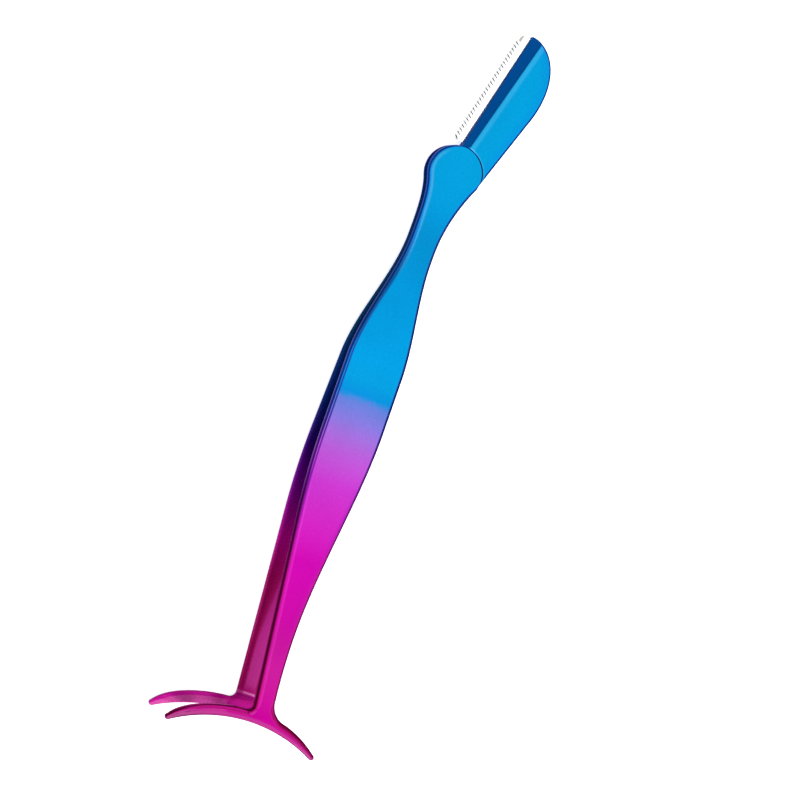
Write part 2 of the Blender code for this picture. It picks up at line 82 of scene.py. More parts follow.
def gridMesh(name, grids, merge=0.002):
    # each grid is an array (rows, columns, 3) in the tool frame and whether its rows are closed
    # loops; neighbours in it make quads. A third entry is the rim colour of painted shade or highlight,
    # kept as an attribute
    points, faces, rims, start = [], [], [], 0
    for grid, closed, *rim in grids:
        rows, columns = grid.shape[:2]
        rims.append(np.broadcast_to(rim[0] if rim else 0.0, (rows, columns)).ravel())
        index = np.arange(rows * columns).reshape(rows, columns) + start
        right = np.roll(index, -1, 1) if closed else index[:, 1:]
        left = index if closed else index[:, :-1]
        faces.append(np.stack([left[:-1], right[:-1], right[1:], left[1:]], -1).reshape(-1, 4))
        points.append(grid.reshape(-1, 3))
        start += rows * columns
    points, faces = toTable(np.concatenate(points)), np.concatenate(faces)
    mesh = bpy.data.meshes.new(name)
    mesh.vertices.add(len(points))
    mesh.vertices.foreach_set("co", points.astype(np.float32).ravel())
    mesh.loops.add(faces.size)
    mesh.loops.foreach_set("vertex_index", faces.astype(np.int32).ravel())
    mesh.polygons.add(len(faces))
    mesh.polygons.foreach_set("loop_start", np.arange(0, faces.size, 4, dtype=np.int32))
    mesh.update(calc_edges=True)
    kept = mesh.attributes.new("rim", "FLOAT", "POINT").data
    kept.foreach_set("value", np.concatenate(rims).astype(np.float32))
    bm = bmesh.new()
    bm.from_mesh(mesh)
    bmesh.ops.remove_doubles(bm, verts=bm.verts[:], dist=merge * mm)
    bmesh.ops.recalc_face_normals(bm, faces=bm.faces[:])
    bm.to_mesh(mesh)
    bm.free()
    mesh.shade_smooth()
    return addObject(name, mesh)


def cover(piece, material, angle):  # with the material; edges from this angle on, in degrees, are sharp
    piece.data.materials.append(material)
    piece.data.set_sharp_from_angle(angle=math.radians(angle))
    return piece


class Wire:
    # a shader socket that can be added, multiplied and so on
    def __init__(self, tree, socket):
        self.tree = tree
        self.socket = socket

    def make(self, kind, settings=None, values=None, out=0):
        # a node of this kind: its settings come first, then its sockets' values or wires
        node = self.tree.nodes.new(kind)
        for key, value in (settings or {}).items():
            if key == "stops":
                ramp = node.color_ramp
                while len(ramp.elements) < len(value):
                    ramp.elements.new(0.5)
                for element, (at, colour) in zip(ramp.elements, value):
                    element.position, element.color = at, (*colour, 1.0)
            else:
                setattr(node, key, value)
        for key, value in (values or {}).items():
            if isinstance(value, Wire):
                self.tree.links.new(value.socket, node.inputs[key])
            else:
                node.inputs[key].default_value = value
        return Wire(self.tree, node.outputs[out])

    def math(self, operation, a, b):
        return self.make("ShaderNodeMath", {"operation": operation}, {0: a, 1: b})

    def __add__(self, other):
        return self.math("ADD", self, other)

    def __radd__(self, other):
        return self.math("ADD", other, self)

    def __sub__(self, other):
        return self.math("SUBTRACT", self, other)

    def __rsub__(self, other):
        return self.math("SUBTRACT", other, self)

    def __mul__(self, other):
        return self.math("MULTIPLY", self, other)

    def __rmul__(self, other):
        return self.math("MULTIPLY", other, self)

    def __truediv__(self, other):
        return self.math("DIVIDE", self, other)

    def clamp(self):
        return self.make("ShaderNodeClamp", {}, {"Value": self, "Min": 0.0, "Max": 1.0})

    def noise(self, scale, detail, **more):  # noise over the places that this wire carries
        return self.make("ShaderNodeTexNoise", {}, {"Vector": self, "Scale": scale, "Detail": detail, **more})

    def axes(self):  # X, Y and Z of the places that this wire carries
        node = self.make("ShaderNodeSeparateXYZ", {}, {0: self}).socket.node
        return [Wire(self.tree, socket) for socket in node.outputs]

    def grey(self):  # the colour with this value in all three channels
        return self.make("ShaderNodeCombineColor", {}, {"Red": self, "Green": self, "Blue": self})

    def mix(self, factor, a, b, blend="MIX"):  # of two colours, each a wire or three numbers
        a, b = (colour if isinstance(colour, Wire) else (*colour, 1.0) for colour in (a, b))
        settings = {"data_type": "RGBA", "blend_type": blend}
        return self.make("ShaderNodeMix", settings, {0: factor, 6: a, 7: b}, out=2)

    def into(self, shader, name):
        self.tree.links.new(self.socket, shader.inputs[name])


def newMaterial(name):  # the material, its shader and a wire of the object's own coordinates
    material = bpy.data.materials.new(name)
    material.use_nodes = True
    tree = material.node_tree
    return material, tree.nodes["Principled BSDF"], Wire(tree, None).make("ShaderNodeTexCoord", out=3)


def setValues(node, values):  # plain values of a node's sockets
    for key, value in values.items():
        node.inputs[key].default_value = value


def linear(code, strength=1.0):  # sRGB hex code to linear colour
    values = np.array([int(code[i:i + 2], 16) / 255 for i in (0, 2, 4)])
    return tuple(strength * np.where(values <= 0.04045, values / 12.92, ((values + 0.055) / 1.055) ** 2.4))


def headPlace(x, y):
    # the object's X and Y to mm along the blade and mm to the blade side, from the lobe's centre
    turn = math.radians(head["turn"])
    x = x / mm - place["origin"][0]
    y = y / mm - (place["origin"][1] + arm["lobeY"])
    return x * math.cos(turn) + y * math.sin(turn), y * math.cos(turn) - x * math.sin(turn)


coat = {
    "roughness": 0.19, "coatWeight": 0.02, "coatRoughness": 0.12, "strength": 0.475,
    "innerMetallic": 0.55, "innerRoughness": 0.27, "rimMetallic": 0.55, "grazing": (0.45, 0.22, 0.60),
    # distance from the lobe centre towards the jaws in mm, the colour there and its painted shade at the rim
    "stops": [(0, "009FDC", "0058B4"), (15, "008ECE", "004A98"), (23, "0092D3", "004488"),
              (30, "0098DA", "004488"), (41, "00A0E4", "003688"), (45, "02A0E1", "003084"),
              (48.2, "0591DF", "002C80"), (49.8, "6782DE", "04287C"), (53.5, "8A7AE1", "141C78"),
              (56.7, "A86DDD", "300E76"), (60, "BC5BD9", "4C0A78"), (66.4, "CB38D0", "60047C"),
              (72, "CE2AC4", "780484"), (82.5, "D206B5", "980080"), (95, "CC08A5", "980078"),
              (105, "C71B99", "980072"), (114, "C80098", "980064"), (116.5, "C01490", "900060"),
              (119, "B83C90", "800050")],
    # the same on the inner faces, which are duller: darker with painted shade between the arms, and lighter
    # with painted reflections on the jaw
    "inner": [(0, "0050A0", "003A75"), (25, "0068A0", "004C74"), (36, "0064A8", "004878"),
              (44, "0450B8", "033A86"), (52, "0834BC", "062474"), (60, "4C08B8", "320070"),
              (67.6, "8C00BC", "680080"), (80, "D000A8", "980078"),
              (87.5, "C80488", "84004E"), (89.5, "C81890", "84004C"), (104, "C42690", "820049"),
              (110, "C6288E", "820049"), (111, "B80078", "820049"), (112.3, "D810A8", "98087A"),
              (113.2, "E03CA8", "900060"), (113.8, "E448B0", "9E0074"), (119, "F058B8", "A2007C")],
    # the bend at the jaw's root: where its painted highlight line lies, its half width and where the painted
    # shade line beside it ends, then each line's strength and tint
    "creaseAt": 111.6, "creaseHalf": 0.3, "creaseEnd": 0.95, "creaseSharp": 5.0, "creaseFades": 4.0,
    "creaseHighlight": 0.22, "creaseHighlightTint": (1.0, 0.55, 0.8),
    "creaseShade": 0.45, "creaseShadeTint": (0.04, 0.0, 0.01),
    # the painted highlight and the painted deepest reflections at the rims, at the blue and the pink end, and
    # where the one turns into the other
    "paintedLight": 0.05, "highlightBlue": (0.7, 0.75, 1.0), "highlightPink": (0.35, 0.5, 0.2),
    "deepest": 0.72, "deepestPink": 0.13, "deepBlue": (0.0, 0.004, 0.012), "deepPink": (0.05, 0.0, 0.0),
    "pinkFrom": (60.0, 30.0),
    # scale of each noise and its effect: on where the colours lie in mm, then on their brightness
    "waves": (160.0, 1.2), "speck": (2600.0, 1.8), "mottle": (2200.0, 0.24), "cloud": (85.0, 0.22),
    "mottleRoughness": 0.06, "grain": 5500.0, "grainStrength": 0.5, "grainHeight": 0.000004,
}


def coatMaterial(name, stops, metallic=1.0, roughness=coat["roughness"], chamfer=None):
    # satin metallic coat whose colour runs along the arms and deepens at the rims in painted shade, with fine
    # grain. The rim attribute is 1 at the coat's painted shade there, 2 at its deepest painted shade and
    # below 0 where it takes a painted highlight
    c = coat
    material, shader, spot = newMaterial(name)
    a = math.radians(place["pitch"])
    x, y, z = spot.axes()
    down = (place["origin"][0] * math.cos(a) - place["origin"][2] * math.sin(a)) \
        - x * (math.cos(a) / mm) + z * (math.sin(a) / mm)
    waves = (spot.noise(c["waves"][0], 2.0) - 0.5) * c["waves"][1]
    along = down + waves + (spot.noise(c["speck"][0], 1.0) - 0.5) * c["speck"][1]
    far = stops[-1][0]
    lit, shade = (spot.make("ShaderNodeValToRGB",
                            {"stops": [(stop[0] / far, linear(stop[k], strength)) for stop in stops]},
                            {"Fac": along / far}) for k, strength in ((1, c["strength"]), (2, 1.0)))
    rim = spot.make("ShaderNodeAttribute", {"attribute_name": "rim"}, out=2)
    pink = ((down - c["pinkFrom"][0]) / c["pinkFrom"][1]).clamp()
    # painted highlight where the rim is below 0, painted shade from 0 to 1
    colour = spot.mix((rim * -c["paintedLight"]).clamp(), spot.mix(rim.clamp(), lit, shade),
                      spot.mix(pink, c["highlightBlue"], c["highlightPink"]))
    # painted deepest shade, a dark reflection, where the rim is above 1
    colour = spot.mix(((rim - 1) * (c["deepest"] + c["deepestPink"] * pink)).clamp(), colour,
                      spot.mix(pink, c["deepBlue"], c["deepPink"]))
    if stops is c["inner"]:
        # painted highlight and painted shade lines along the bend at the jaw's root
        past, half = down - c["creaseAt"], c["creaseHalf"]
        sharp = c["creaseSharp"]
        light = ((past + half) * sharp).clamp() * ((half - past) * sharp).clamp() * (1 - 0.7 * rim.clamp())
        dark = ((past - half) * sharp).clamp() * ((c["creaseEnd"] - past) * c["creaseFades"]).clamp()
        colour = spot.mix(light * c["creaseHighlight"], colour, c["creaseHighlightTint"])
        colour = spot.mix(dark * c["creaseShade"], colour, c["creaseShadeTint"])
    if chamfer:  # the long ground slope of the head in painted shade, a dark reflection, with a faint painted highlight strip beside it
        out, up = headPlace(x, y)
        widens = (head["chamferFar"] - head["chamferNear"]) / head["reach"]
        over = up - head["edge"] + (head["chamferNear"] + widens * out)
        strip = ((over - head["strip"][0]) * head["stripSharp"]).clamp() \
            * ((head["strip"][1] - over) * head["stripSharp"]).clamp()
        colour = spot.mix(strip * head["stripHighlight"], colour, head["stripTint"])
        colour = spot.mix(((over - head["slopeFrom"]) * head["slopeSharp"]).clamp(), colour, linear(chamfer))
    mottle = spot.noise(c["mottle"][0], 3.0, Roughness=0.6) - 0.5
    cloud = spot.noise(c["cloud"][0], 1.0) - 0.5
    tint = 1.0 - c["mottle"][1] * mottle + c["cloud"][1] * cloud
    spot.mix(1.0, colour, tint.grey(), "MULTIPLY").into(shader, "Base Color")
    (roughness + c["mottleRoughness"] * mottle).into(shader, "Roughness")
    (metallic - rim.clamp() * (metallic - c["rimMetallic"])
     + (rim - 1).clamp() * (1 - c["rimMetallic"])).into(shader, "Metallic")
    setValues(shader, {"Specular Tint": (*(head if chamfer else coat)["grazing"], 1.0),
                       "Coat Weight": c["coatWeight"], "Coat Roughness": c["coatRoughness"]})
    spot.make("ShaderNodeBump", {}, {"Height": spot.noise(c["grain"], 2.0), "Strength": c["grainStrength"],
                                     "Distance": c["grainHeight"]}).into(shader, "Normal")
    return material


steel = {
    # colour, how close the grinding lines are, roughness and how metallic
    "blade": ("F4F5F6", 9000.0, 0.22, 1.0), "comb": ("F2F3F4", 5000.0, 0.42, 0.35),
    "lineLength": 260.0, "lineTint": 0.16, "lineRoughness": 0.15, "lineStrength": 0.15,
    "lineHeight": 0.000004,
    "cloud": 700.0, "cloudTint": 0.08,
    # the ground bevel, darker by its own duller grind and by painted shade under the comb, and the
    # rounded outer corner in painted shade: where it starts along and across the blade, and how fast
    "bevel": "9C9896", "bevelSharp": 12.0,
    "corner": "B0ACA6", "cornerFrom": (29.6, 2.2), "cornerSharp": (0.45, 1.2),
}


def steelMaterial(name, finish, ground=False):
    # bright steel with fine grinding lines across the edge, darker on the ground bevel (its own duller
    # grind and painted shade under the comb) and at the rounded outer corner (painted shade)
    s = steel
    code, lines, roughness, metallic = finish
    material, shader, spot = newMaterial(name)
    turned = spot.make("ShaderNodeMapping", {}, {
        "Vector": spot, "Rotation": (0, 0, -math.radians(head["turn"])),
        "Scale": (lines, s["lineLength"], s["lineLength"])})
    scratch = turned.noise(1.0, 3.0)
    cloud = spot.noise(s["cloud"], 2.0)
    tint = 1.0 - s["lineTint"] * (scratch - 0.5) - s["cloudTint"] * (cloud - 0.5)
    tone = linear(code)
    if ground:
        # the ground bevel darker, partly its own grind and partly painted shade under the comb; the outer
        # corner in painted shade
        out, up = headPlace(*spot.axes()[:2])
        bevel = ((up - (head["edge"] + blade["shown"] - blade["bevel"])) * s["bevelSharp"]).clamp()
        along, across = (((at - start) * sharp).clamp()
                         for at, start, sharp in zip((out, up), s["cornerFrom"], s["cornerSharp"]))
        tone = spot.mix(along * across, spot.mix(bevel, tone, linear(s["bevel"])), linear(s["corner"]))
    spot.mix(1.0, tint.grey(), tone, "MULTIPLY").into(shader, "Base Color")
    (roughness + s["lineRoughness"] * (scratch - 0.5)).into(shader, "Roughness")
    setValues(shader, {"Metallic": metallic})
    spot.make("ShaderNodeBump", {}, {"Height": scratch, "Strength": s["lineStrength"],
                                     "Distance": s["lineHeight"]}).into(shader, "Normal")
    return material


arm = {
    "sheet": 1.1, "halfGap": 0.55, "innerRound": 0.1, "innerBand": 1.5, "innerSlope": 0.11,
    "lobe": 5.75, "lobeY": -0.6, "leaveBlade": 24.0, "leaveBack": 13.4,
    "neckAt": 16.8, "neckBlade": 3.45, "neckBack": 2.6, "curveBlade": 4.4, "curveBack": 2.0,
    "gripBlade": 7.75, "gripBladeFrom": 14.3, "gripBladeFull": 41.3, "gripBladeEnd": 56.3,
    "gripBack": 4.9, "gripBackFrom": 18.3, "gripBackFull": 42.3, "gripBackEnd": 53.3,
    "taperEase": 18.0, "waistAt": 97.3, "waistBack": 1.25, "rootBlade": 2.0, "rootBack": 1.9,
    "bowFrom": 13.3, "bowTo": 31.3, "bowSlope": 0.060, "bendAt": 111.8, "restSlope": 0.037525,
    "gripRadius": 31.5, "jawReach": 115.45, "jawY": 1.75, "jawWidth": 2.3, "jawTip": 0.6,
    "wingBlade": 30.1, "wingBack": 26.9, "rearShort": 4.2, "powerBlade": 6.0, "powerBack": 1.5,
    "filletBlade": 1.2, "filletBack": 4.2, "lipDepth": 1.28, "lipRunout": 8.5, "lipPower": 1.25,
    # how far the middle line runs to the jaw, and how far a rounding may reach in from an edge
    "middleTo": 110.0, "middleEase": 0.06, "room": 1.4, "rootRoom": 1.15,
    # width and depth of the large rounding: at the neck, towards the jaw, on the lobe by the holder;
    # its share of the room, and where along the arm it grows
    "roundNeck": (0.6, 0.55), "roundJaw": (0.56, 0.58), "roundSeam": (0.13, 0.13),
    "roundRoom": (0.5, 1.0), "roundGrows": (45.0, 45.0), "roundBack": 1.2,
    # the slightly sloped band beside the rounding, and the part of the lobe that meets the holder
    "band": 0.75, "bandSlope": 0.2, "bandRoom": 0.96, "seam": (-93.0, 10.0),
    # most that the inner rounding and the sloped margin of the inner face take of the room
    "innerRoundRoom": 0.15, "innerBandRoom": 0.8,
}

# Where an arm's rims and inner faces get painted shade or painted highlights. A pair is where a
# change starts, in mm from the lobe's centre or degrees round the jaw, and how long it takes
rimLook = {
    "jaw": (109, 2), "grip": (111.5, 2), "leftWing": (7, 4), "rightWing": (8, 4),
    "blade": (8, 8), "lowBlade": (62, 14), "lowBack": (62, 20), "neckLow": (32, 14), "low": (58, 16),
    # how far a rim has to face out, to the grip, into the corner or to a side for each of these
    "facesOut": (0.1, 0.6), "facesGrip": (0.1, 0.5), "facesCorner": (0.25, 0.3), "cornerFrom": 100,
    "softSide": 1.2, "side": 1.5, "lobeFront": 6, "neckDark": 0.6,
    # slope of the band: at the lobe, more past it, less in the middle, more on the jaw, less in the corner
    "slopes": (0.4, 0.6, 0.5, 0.8, 0.8), "slopeGrows": (4, 9), "slopeFalls": (16, 18), "slopeBack": (60, 14),
    # the band gets a painted highlight at the neck and low down, on rims that face this way, and painted
    # shade on the jaw
    "highlightTo": (20, 4), "highlightFrom": (66, 14), "highlightFades": (64, 10), "highlightNeck": 0.8, "highlightLess": 0.45,
    "highlightFaces": (0.6, -1.3), "jawDark": 1.5, "cornerLight": 0.9,
    # painted shade and highlight of the side wall and its foot
    "wallDeepens": (62, 10), "rearLight": (60, 10), "backFades": (40, 20), "wingFades": (1, 4),
    "footRear": (50, 10), "footFront": (20, 10), "footEnds": (84, 10),
    "wingLess": 0.45, "backLess": 0.25, "gripLight": 1.2,
    # where the large rounding takes the wall's painted shade, in radians, how softly, and how much sooner
    # on the sides, then low down and on the right wing
    "roundFrom": 0.22, "roundSoft": 0.3, "soonerSide": 0.2, "soonerLow": 0.3,
    # painted shade and highlight over the band: shares of the way from its outer side to the flat, and the
    # rim colours there
    "onBlade": ((0, 0.3, 0.5), (1.3, 0.9, 0)),
    "onLowBlade": ((0, 0.25, 0.5, 0.75, 1), (1.6, 1.25, 0.45, -0.4, -0.1)),
    "onLowBack": ((0, 1), (0.65, 0.05)),
    "onCorner": ((0, 0.3, 0.6, 1), (1.6, 1.0, -0.9, -0.9)),
    "onOuter": ((0, 1), (1.6, 0.9)),
    "onOuterLeft": ((0, 0.3, 0.55, 0.75, 1), (1.5, 1.3, 0.9, -1.2, -0.5)),
    "onOuterRight": ((0, 1), (0.35, 0.25)),
    "onGrip": ((0, 0.3, 1), (-1.1, -0.6, 0)),
    "onGripLeft": ((0, 1), (-1.1, -0.4)),
    "onGripRight": ((0, 1), (0, 0.8)),
    # painted shade margin of an inner face: its width low down, where it starts to widen and how fast, its
    # width on the jaw and behind; then the jaw's root in painted shade: middle and half width in degrees,
    # and depth
    "marginWidth": 1.4, "marginFrom": 101.0, "marginSlope": 0.115, "marginJaw": 0.85, "marginBack": 0.6,
    "marginSoft": 0.12, "marginMost": (0.7, 0.22), "marginEases": (60, 14), "jawFace": (112.2, 0.6),
    "rootMiddle": -2.5, "rootTurn": 5.6, "rootSoft": 1.2, "rootDeep": 1.25,
}


def edgeBlade(d):  # distance of the blade-side edge from the axis: neck, swell and straight taper
    a = arm
    leave = a["lobe"] * math.sin(math.radians(a["leaveBlade"]))
    start = a["lobeY"] + a["lobe"] * math.cos(math.radians(a["leaveBlade"]))
    neck = np.clip((a["neckAt"] - d) / (a["neckAt"] - leave), 0, 1) ** a["curveBlade"]
    neck = neck * (start - a["neckBlade"])
    swell = ease((d - a["gripBladeFrom"]) / (a["gripBladeFull"] - a["gripBladeFrom"]))
    swell = swell * (a["gripBlade"] - a["neckBlade"])
    past = np.clip(d - a["gripBladeEnd"], 0, None)
    run = a["jawReach"] - a["gripBladeEnd"] - a["taperEase"] / 2 - a["jawWidth"]
    eased = np.where(past < a["taperEase"], past ** 2 / (2 * a["taperEase"]), past - a["taperEase"] / 2)
    return a["neckBlade"] + neck + swell - (a["gripBlade"] - a["rootBlade"]) / run * eased


def edgeBack(d):  # the same for the back edge: neck, swell, fall to the waist and flare at the jaw
    a = arm
    leave = a["lobe"] * math.sin(math.radians(a["leaveBack"]))
    start = -a["lobeY"] + a["lobe"] * math.cos(math.radians(a["leaveBack"]))
    neck = np.clip((a["neckAt"] - d) / (a["neckAt"] - leave), 0, 1) ** a["curveBack"]
    neck = neck * (start - a["neckBack"])
    swell = ease((d - a["gripBackFrom"]) / (a["gripBackFull"] - a["gripBackFrom"]))
    swell = swell * (a["gripBack"] - a["neckBack"])
    fall = (a["gripBack"] - a["waistBack"]) * ease((d - a["gripBackEnd"]) / (a["waistAt"] - a["gripBackEnd"]))
    run = a["jawReach"] - a["jawWidth"] - a["waistAt"] - a["filletBack"] * 0.8
    flare = (a["rootBack"] - a["waistBack"]) * (np.clip(d - a["waistAt"], 0, None) / run) ** 2
    return a["neckBack"] + neck + swell - fall + flare


def riseAt(x):  # height of an arm's inner face over the mid-plane: a bow, a slope, then the jaw's slope
    a = arm
    d = -x
    bow = np.clip(np.minimum(d, a["bowTo"]) - a["bowFrom"], 0, None)
    rise = a["bowSlope"] * bow ** 2 / (2 * (a["bowTo"] - a["bowFrom"]))
    rise = rise + a["bowSlope"] * np.clip(np.minimum(d, a["bendAt"]) - a["bowTo"], 0, None)
    return a["halfGap"] + rise + a["restSlope"] * np.clip(d - a["bendAt"], 0, None)


def armCurves(wingBack):
    # outline of an arm, anticlockwise, with the point of its middle line that faces each
    # outline point, the share of the lip there, and the room for rounding
    a = arm
    jaw = np.array([-a["jawReach"] - a["gripRadius"], a["jawY"]])
    lobe = np.array([0.0, a["lobeY"]])
    outer = a["gripRadius"] + a["jawWidth"]
    middle = a["gripRadius"] + a["jawWidth"] / 2
    sides = {}
    for side, edge, radius, sweep, power in (
            (1, edgeBlade, a["filletBlade"], a["wingBlade"], a["powerBlade"]),
            (-1, edgeBack, a["filletBack"], wingBack, a["powerBack"])):
        x = -a["jawReach"]
        for _ in range(8):  # the fillet starts where the edge has the fillet's own level
            level = float(edge(np.array(-x)))
            y = side * (level + radius)
            x = jaw[0] + math.sqrt((outer + radius) ** 2 - (y - jaw[1]) ** 2)
        start = math.atan2(side * (y - jaw[1]), x - jaw[0])
        leave = math.radians(a["leaveBlade"] if side > 0 else a["leaveBack"])
        d = np.linspace(a["lobe"] * math.sin(leave), -x, 261)
        long = np.stack([-d, side * edge(d)], -1)
        end = math.atan2(side * (jaw[1] - y), jaw[0] - x) % (2 * math.pi)
        turn = np.linspace(1.5 * math.pi, end, 41)
        corner = np.stack([x + radius * np.cos(turn), side * (level + radius + radius * np.sin(turn))], -1)
        t = np.linspace(0, 1, 91)
        angle = start + (math.radians(sweep) - start) * t
        width = a["jawWidth"] - (a["jawWidth"] - 2 * a["jawTip"]) * t ** power
        wing = polar(jaw, a["gripRadius"] + width, side * angle)
        spineWing = polar(jaw, a["gripRadius"] + width / 2, side * angle)
        gripWing = polar(jaw, a["gripRadius"], side * angle)
        sides[side] = dict(long=long, corner=corner, wing=wing, spineWing=spineWing, gripWing=gripWing,
                           half=width / 2, start=start, sweep=math.radians(sweep))
    # middle line of the arm down to the crescent
    t = np.linspace(0, 1, 261)
    spineD = a["middleTo"] * t
    spineY = lobe[1] + (edgeBlade(spineD) - edgeBack(spineD) - 2 * lobe[1]) / 2 * ease(t / a["middleEase"])
    spineLong = np.stack([-spineD, spineY], -1)
    root = math.asin((spineLong[-1, 1] - jaw[1]) / middle)
    crotch = polar(jaw, middle, np.array(root))
    down = spineLong[-1] + (crotch - spineLong[-1]) * np.linspace(0, 1, 21)[:, None]
    parts, spine, room, seam = [], [], [], []

    def add(points, mid, space, atSeam=0.0):
        parts.append(points)
        for kept, value in ((room, space), (seam, atSeam)):
            kept.append(np.broadcast_to(value, len(points)))
        spine.append(np.broadcast_to(mid, points.shape))

    turn = np.radians(np.linspace(-90 - a["leaveBack"], 90 + a["leaveBlade"], 121))
    inSeam = (turn > math.radians(a["seam"][0])) & (turn < math.radians(a["seam"][1]))
    add(polar(lobe, a["lobe"], turn), lobe, a["room"], inSeam * 1.0)

    def fork(side):  # from the arm's middle line round to the wing's
        angle = np.linspace(root, side * sides[side]["start"], 21)
        return np.concatenate([down, polar(jaw, middle, angle)[1:]])

    left, right = sides[1], sides[-1]
    add(left["long"][1:-1], spineLong[1:-1], a["room"])
    add(left["corner"], fork(1), a["rootRoom"])
    add(left["wing"][1:], left["spineWing"][1:], left["half"][1:])

    def tip(side, reverse):
        s = sides[side]
        turn = np.linspace(0, math.pi, 25)[1:-1]
        if reverse:
            turn = turn[::-1]
        centre = polar(jaw, a["gripRadius"] + a["jawTip"], np.array(side * s["sweep"]))
        points = polar(centre, a["jawTip"], side * (s["sweep"] + turn))
        add(points, centre, a["jawTip"])

    tip(1, False)
    add(left["gripWing"][::-1], left["spineWing"][::-1], left["half"][::-1])
    for side in (1, -1):
        angle = np.linspace(root, side * sides[side]["start"], 21)
        angle = angle[-2::-1] if side > 0 else angle[1:-1]
        add(polar(jaw, a["gripRadius"], angle), polar(jaw, middle, angle), a["rootRoom"])
    add(right["gripWing"], right["spineWing"], right["half"])
    tip(-1, True)
    add(right["wing"][:0:-1], right["spineWing"][:0:-1], right["half"][:0:-1])
    add(right["corner"][::-1], fork(-1)[::-1], a["rootRoom"])
    add(right["long"][-2:0:-1], spineLong[-2:0:-1], a["room"])
    return [np.concatenate(v) for v in (parts, spine, room, seam)]


def jawPlace(flat):  # distance from the crescent's centre, and degrees round it to the blade side
    x, y = flat[:, 0] + arm["jawReach"] + arm["gripRadius"], flat[:, 1] - arm["jawY"]
    return np.hypot(x, y), np.degrees(np.arctan2(y, x))


def lipAt(flat):  # how far the jaw's inner side stands in: a wedge across it, fading out at the tips
    a = arm
    distance, turn = jawPlace(flat)
    across = np.clip(1 - (distance - a["gripRadius"]) / a["jawWidth"], 0, 1)
    left = np.where(turn > 0, a["wingBlade"] - turn, a["wingBack"] + turn)
    return a["lipDepth"] * across ** a["lipPower"] * ease(np.radians(left) * a["gripRadius"] / a["lipRunout"])


def inwardNormals(outline):  # unit normals of a closed anticlockwise outline, pointing in
    along = np.roll(outline, -1, 0) - np.roll(outline, 1, 0)
    along /= np.linalg.norm(along, axis=1)[:, None]
    return np.stack([-along[:, 1], along[:, 0]], -1)


def smoothAround(values, passes):  # each value moves to the mean of itself and its neighbours
    for _ in range(passes):
        values = 0.5 * values + 0.25 * (np.roll(values, 1, 0) + np.roll(values, -1, 0))
    return values


def findZones(outline, normal, seam):
    # the places whose rims get different painted shade and highlights, as shares from 0 to 1 at each
    # point of the outline
    r = rimLook
    along, turn = -outline[:, 0], jawPlace(outline)[1]
    inX, inY = normal.T
    jaw = smoothAround(after(along, r["jaw"]) * after(-inX, r["facesOut"]), 8)
    grip = smoothAround(after(along, r["grip"]) * after(inX, r["facesGrip"]), 8)
    corner = after(-inX, r["facesCorner"]) * after(-inY, r["facesCorner"]) * (along > r["cornerFrom"])
    corner = smoothAround(corner, 8)
    shank = 1 - np.maximum(jaw, grip)
    toBlade, toBack = ease(-r["side"] * inY), ease(r["side"] * inY)
    ahead = ease(r["softSide"] * np.maximum(-inY, -inX * (along < r["lobeFront"])))
    dark = np.maximum(after(along, r["low"]), r["neckDark"] * (1 - after(along, r["neckLow"])))
    return SimpleNamespace(
        along=along, turn=turn, jaw=jaw, grip=grip, corner=corner, outer=jaw * (1 - corner),
        left=after(turn, r["leftWing"]), right=after(-turn, r["rightWing"]),
        behind=ease(r["softSide"] * inY) * (1 - seam), low=ahead * dark * (1 - seam),
        blade=toBlade * (1 - seam) * after(along, r["blade"]) * (1 - jaw),
        lowBlade=after(along, r["lowBlade"]) * toBlade * shank * (1 - corner),
        lowBack=toBack * after(along, r["lowBack"]) * shank)


def bandPaintedLight(zone, normal, seam):  # painted light of the band: below 0 a painted highlight, above 0 painted shade on the jaw
    r = rimLook
    middle = after(zone.along, r["highlightTo"]) * (1 - after(zone.along, r["highlightFrom"]))
    paintedLight = ease(normal @ np.array(r["highlightFaces"])) * (1 - seam) * (1 - middle)
    paintedLight = paintedLight * (r["highlightNeck"] - r["highlightLess"] * after(zone.along, r["highlightFades"]))
    paintedLight = r["jawDark"] * zone.jaw - paintedLight * (1 - zone.jaw)
    return paintedLight * (1 - zone.corner) - r["cornerLight"] * zone.corner


def bandRim(zone, paintedLight, share):
    # painted shade or highlight (rim colour) of the band at a share of the way from its outer side to the
    # flat
    on = {key: np.interp(share, *rimLook[key]) for key in rimLook if key.startswith("on")}
    rim = np.where(paintedLight > 0, np.minimum(1.0, paintedLight * (1.9 - share)),
                   paintedLight * math.sin(math.pi * min(1.0, 1.1 * share)))
    rim = rim + zone.blade * on["onBlade"]
    rim = rim + zone.lowBlade * (on["onLowBlade"] - rim)
    rim = rim + zone.lowBack * on["onLowBack"]
    rim = rim + zone.corner * (on["onCorner"] - rim)
    left, right = zone.left, zone.right
    onOuter = left * on["onOuterLeft"] + (1 - left) * (on["onOuter"] + right * on["onOuterRight"])
    onGrip = left * on["onGripLeft"] + (1 - left) * (on["onGrip"] + right * on["onGripRight"])
    return rim * (1 - np.maximum(zone.outer, zone.grip)) + zone.outer * onOuter + zone.grip * onGrip


